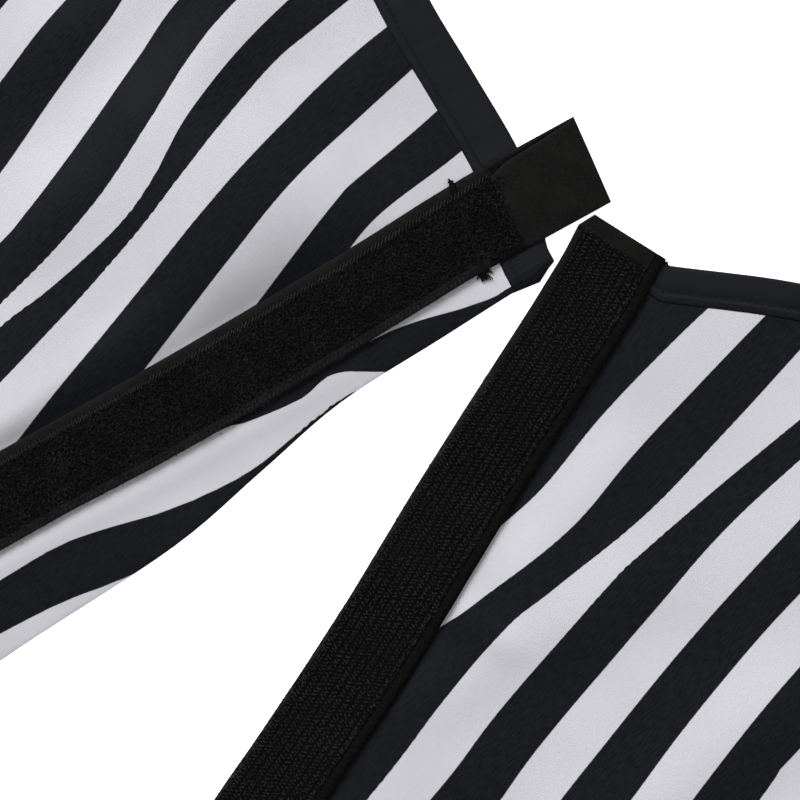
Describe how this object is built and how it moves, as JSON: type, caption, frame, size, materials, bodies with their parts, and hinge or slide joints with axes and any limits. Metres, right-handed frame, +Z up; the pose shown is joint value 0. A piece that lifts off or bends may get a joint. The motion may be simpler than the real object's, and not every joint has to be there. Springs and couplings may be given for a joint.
{
  "type": "horse fly sheet",
  "caption": "Open-front horse fly sheet in striped cloth, laid flat, with a hook-and-loop chest closure, fold-back flaps, tail flap and surcingles.",
  "frame": {"origin": "centre of the outline's bounding box, on the surface that the sheet lies on", "axes": "+Y from the chest to the tail along the back seam, +X towards the flap with the hook strap, +Z up out of the sheet's outside face"},
  "size_m": [1.8664, 2.4024, 0.0132],
  "materials": {
    "zebra_cloth": "woven polyester printed with irregular black and white stripes, faint sheen",
    "edge_binding": "black folded woven binding, satin",
    "closure_webbing": "black woven tape, satin",
    "loop_pile": "black brushed loop pile, matt",
    "hook_tape": "black moulded hook field on woven tape",
    "thread": "black polyester thread, satin",
    "fleece": "black deep-pile fleece, matt",
    "strap_webbing": "black ribbed webbing, satin",
    "metal_hardware": "nickel-plated steel, satin"
  },
  "bodies": {
    "sheet": {"left_body_panel": "zebra_cloth", "right_body_panel": "zebra_cloth", "spine_tape": "edge_binding", "withers_pad": "fleece", "left_neck_binding": "edge_binding", "right_neck_binding": "edge_binding", "left_side_hem": "edge_binding", "right_side_hem": "edge_binding", "front_surcingle_patch": "strap_webbing", "rear_surcingle_patch": "strap_webbing", "front_catch_patch": "strap_webbing", "rear_catch_patch": "strap_webbing"},
    "left_flap": {"left_chest_flap": "zebra_cloth", "left_flap_neck_binding": "edge_binding", "left_flap_hem": "edge_binding", "loop_backing_strap": "closure_webbing", "loop_tape": "loop_pile", "loop_bar_tack": "thread"},
    "pull_tab": {"pull_tab": "closure_webbing"},
    "right_flap": {"right_chest_flap": "zebra_cloth", "right_flap_neck_binding": "edge_binding", "right_flap_hem": "edge_binding", "hook_backing_strap": "closure_webbing", "hook_tape": "hook_tape", "hook_seam_ridge": "edge_binding", "hook_strap_fold": "closure_webbing"},
    "tail_flap": {"tail_flap_panel": "zebra_cloth", "tail_flap_binding": "edge_binding"},
    "front_surcingle": {"front_surcingle_strap": "strap_webbing"},
    "front_slider": {"front_slider": "metal_hardware"},
    "front_t_hook": {"front_t_hook": "metal_hardware"},
    "front_catch_strap": {"front_catch_strap": "strap_webbing"},
    "front_catch_plate": {"front_catch_plate": "metal_hardware"},
    "rear_surcingle": {"rear_surcingle_strap": "strap_webbing"},
    "rear_slider": {"rear_slider": "metal_hardware"},
    "rear_t_hook": {"rear_t_hook": "metal_hardware"},
    "rear_catch_strap": {"rear_catch_strap": "strap_webbing"},
    "rear_catch_plate": {"rear_catch_plate": "metal_hardware"}
  },
  "joints": [
    {"name": "left_flap_fold", "type": "hinge", "parent": "sheet", "child": "left_flap", "pos_m": [-0.247, -0.53982, 0.0024], "axis": [-0.2426, -0.9701, 0], "range_deg": [0, 165]},
    {"name": "right_flap_fold", "type": "hinge", "parent": "sheet", "child": "right_flap", "pos_m": [0.247, -0.53982, 0.0024], "axis": [-0.2426, 0.9701, 0], "range_deg": [0, 165]},
    {"name": "pull_tab_lift", "type": "hinge", "parent": "left_flap", "child": "pull_tab", "pos_m": [-0.05939, -0.7763, 0.0046], "axis": [0.969, -0.247, 0], "range_deg": [0, 150]},
    {"name": "tail_flap_lift", "type": "hinge", "parent": "sheet", "child": "tail_flap", "pos_m": [0, 0.9965, 0.0024], "axis": [1, 0, 0], "range_deg": [0, 165]},
    {"name": "front_surcingle_swing", "type": "hinge", "parent": "sheet", "child": "front_surcingle", "pos_m": [0.894, -0.01, 0.00305], "axis": [0, 1, 0], "range_deg": [0, 170]},
    {"name": "front_slider_travel", "type": "slide", "parent": "front_surcingle", "child": "front_slider", "axis": [-1, 0, 0], "range_m": [-0.25, 0.2]},
    {"name": "front_hook_pivot", "type": "hinge", "parent": "front_surcingle", "child": "front_t_hook", "pos_m": [0.294, -0.01, 0.0055], "axis": [0, 1, 0], "range_deg": [0, 135]},
    {"name": "front_catch_swing", "type": "hinge", "parent": "sheet", "child": "front_catch_strap", "pos_m": [-0.894, -0.01, 0.00305], "axis": [0, -1, 0], "range_deg": [0, 170]},
    {"name": "front_catch_pivot", "type": "hinge", "parent": "front_catch_strap", "child": "front_catch_plate", "pos_m": [-0.784, -0.01, 0.0055], "axis": [0, -1, 0], "range_deg": [0, 135]},
    {"name": "rear_surcingle_swing", "type": "hinge", "parent": "sheet", "child": "rear_surcingle", "pos_m": [0.894, 0.38, 0.00305], "axis": [0, 1, 0], "range_deg": [0, 170]},
    {"name": "rear_slider_travel", "type": "slide", "parent": "rear_surcingle", "child": "rear_slider", "axis": [-1, 0, 0], "range_m": [-0.25, 0.2]},
    {"name": "rear_hook_pivot", "type": "hinge", "parent": "rear_surcingle", "child": "rear_t_hook", "pos_m": [0.294, 0.38, 0.0055], "axis": [0, 1, 0], "range_deg": [0, 135]},
    {"name": "rear_catch_swing", "type": "hinge", "parent": "sheet", "child": "rear_catch_strap", "pos_m": [-0.894, 0.38, 0.00305], "axis": [0, -1, 0], "range_deg": [0, 170]},
    {"name": "rear_catch_pivot", "type": "hinge", "parent": "rear_catch_strap", "child": "rear_catch_plate", "pos_m": [-0.784, 0.38, 0.0055], "axis": [0, -1, 0], "range_deg": [0, 135]}
  ]
}
